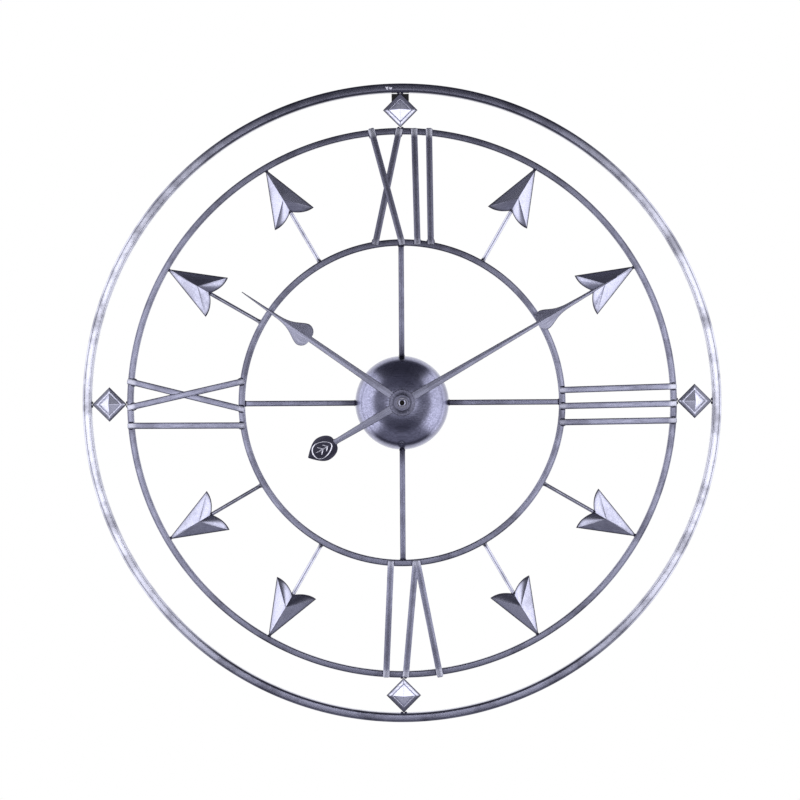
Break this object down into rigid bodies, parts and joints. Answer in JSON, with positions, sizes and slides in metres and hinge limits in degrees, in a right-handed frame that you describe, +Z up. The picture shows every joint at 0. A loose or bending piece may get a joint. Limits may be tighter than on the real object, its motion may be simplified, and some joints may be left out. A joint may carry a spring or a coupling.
{
  "type": "wall clock",
  "caption": "Round skeleton wall clock: open steel rings, Roman numerals and arrow markers around a domed hub, with spade hands on a battery quartz movement.",
  "frame": {"origin": "the point of the wall plane behind the dial's centre", "axes": "+Y along the dial axis into the wall, +Z up to twelve o'clock, +X to three o'clock; the dial faces -Y"},
  "size_m": [0.6, 0.0434, 0.6],
  "materials": {
    "frame_steel": "brushed, lavender-grey lacquer",
    "numeral_steel": "brushed, lavender-grey lacquer",
    "marker_steel": "satin, lavender-grey lacquer",
    "hub_steel": "brushed in rings, lavender-grey lacquer",
    "black_steel": "satin black paint",
    "hand_metal": "brushed, dark lavender-grey lacquer",
    "plated_metal": "nickel plate",
    "brass": "machined",
    "gasket_rubber": "matt",
    "case_plastic": "fine sparked texture",
    "gear_plastic": "moulded acetal",
    "battery_sleeve": "printed film sleeve, plain",
    "board_laminate": "solder mask",
    "coil_wire": "enamelled copper wire",
    "stator_steel": "rolled",
    "rotor_magnet": "sintered"
  },
  "bodies": {
    "frame": {"outer_ring": "frame_steel", "middle_ring": "frame_steel", "inner_ring": "frame_steel", "spoke_12": "frame_steel", "spoke_03": "frame_steel", "spoke_06": "frame_steel", "spoke_09": "frame_steel", "xii_cross_front": "numeral_steel", "xii_cross_back": "numeral_steel", "xii_upright_left": "numeral_steel", "xii_upright_right": "numeral_steel", "iii_upright_top": "numeral_steel", "iii_upright_middle": "numeral_steel", "iii_upright_bottom": "numeral_steel", "vi_upright": "numeral_steel", "vi_v_left": "numeral_steel", "vi_v_right": "numeral_steel", "ix_cross_back": "numeral_steel", "ix_cross_front": "numeral_steel", "ix_upright": "numeral_steel", "arrow_01": "marker_steel", "arrow_02": "marker_steel", "arrow_04": "marker_steel", "arrow_05": "marker_steel", "arrow_07": "marker_steel", "arrow_08": "marker_steel", "arrow_10": "marker_steel", "arrow_11": "marker_steel", "diamond_12": "marker_steel", "diamond_03": "marker_steel", "diamond_06": "marker_steel", "diamond_09": "marker_steel", "hub_dome": "hub_steel", "hanger_bracket": "black_steel", "hub_mount_plate": "black_steel", "movement_washer": "plated_metal", "contact_positive": "plated_metal", "contact_negative": "plated_metal", "quartz_crystal": "plated_metal", "fixing_nut": "brass", "movement_gasket": "gasket_rubber", "movement_case_front": "case_plastic", "movement_case_back": "case_plastic", "battery": "battery_sleeve", "circuit_board": "board_laminate", "coil": "coil_wire", "stator": "stator_steel"},
    "minute_work": {"minute_hand": "hand_metal", "hand_nut": "plated_metal", "minute_shaft": "brass"},
    "motion_work": {"motion_wheel": "gear_plastic", "setting_knob": "gear_plastic"},
    "hour_work": {"hour_hand": "hand_metal", "hour_wheel": "gear_plastic"},
    "rotor_work": {"rotor": "rotor_magnet"},
    "intermediate_work": {"intermediate_wheel": "gear_plastic"},
    "second_work": {"second_wheel": "gear_plastic"},
    "third_work": {"third_wheel": "gear_plastic"},
    "centre_work": {"centre_wheel": "gear_plastic"}
  },
  "joints": [
    {"name": "minute_spin", "type": "hinge", "parent": "frame", "child": "minute_work", "pos_m": [0, 0, 0], "axis": [0, 1, 0], "continuous": true},
    {"name": "motion_spin", "type": "hinge", "parent": "frame", "child": "motion_work", "pos_m": [0.00328, 0, 0.00902], "axis": [0, 1, 0], "continuous": true},
    {"name": "hour_spin", "type": "hinge", "parent": "frame", "child": "hour_work", "pos_m": [0, 0, 0], "axis": [0, 1, 0], "continuous": true},
    {"name": "rotor_spin", "type": "hinge", "parent": "frame", "child": "rotor_work", "pos_m": [-0.00784, 0, 0.00783], "axis": [0, 1, 0], "continuous": true},
    {"name": "intermediate_spin", "type": "hinge", "parent": "frame", "child": "intermediate_work", "pos_m": [-0.00691, 0, 0.00251], "axis": [0, 1, 0], "continuous": true},
    {"name": "second_spin", "type": "hinge", "parent": "frame", "child": "second_work", "pos_m": [0, 0, 0], "axis": [0, 1, 0], "continuous": true},
    {"name": "third_spin", "type": "hinge", "parent": "frame", "child": "third_work", "pos_m": [0.00792, 0, 0], "axis": [0, 1, 0], "continuous": true},
    {"name": "centre_spin", "type": "hinge", "parent": "frame", "child": "centre_work", "pos_m": [0, 0, 0], "axis": [0, 1, 0], "continuous": true}
  ],
  "couplings": [
    {"joint": "motion_spin", "follows": "minute_spin", "ratio": -0.33333},
    {"joint": "hour_spin", "follows": "minute_spin", "ratio": 0.083333},
    {"joint": "intermediate_spin", "follows": "rotor_spin", "ratio": -0.2},
    {"joint": "second_spin", "follows": "rotor_spin", "ratio": 0.033333},
    {"joint": "third_spin", "follows": "rotor_spin", "ratio": -0.0041667},
    {"joint": "centre_spin", "follows": "rotor_spin", "ratio": 0.00055556}
  ]
}
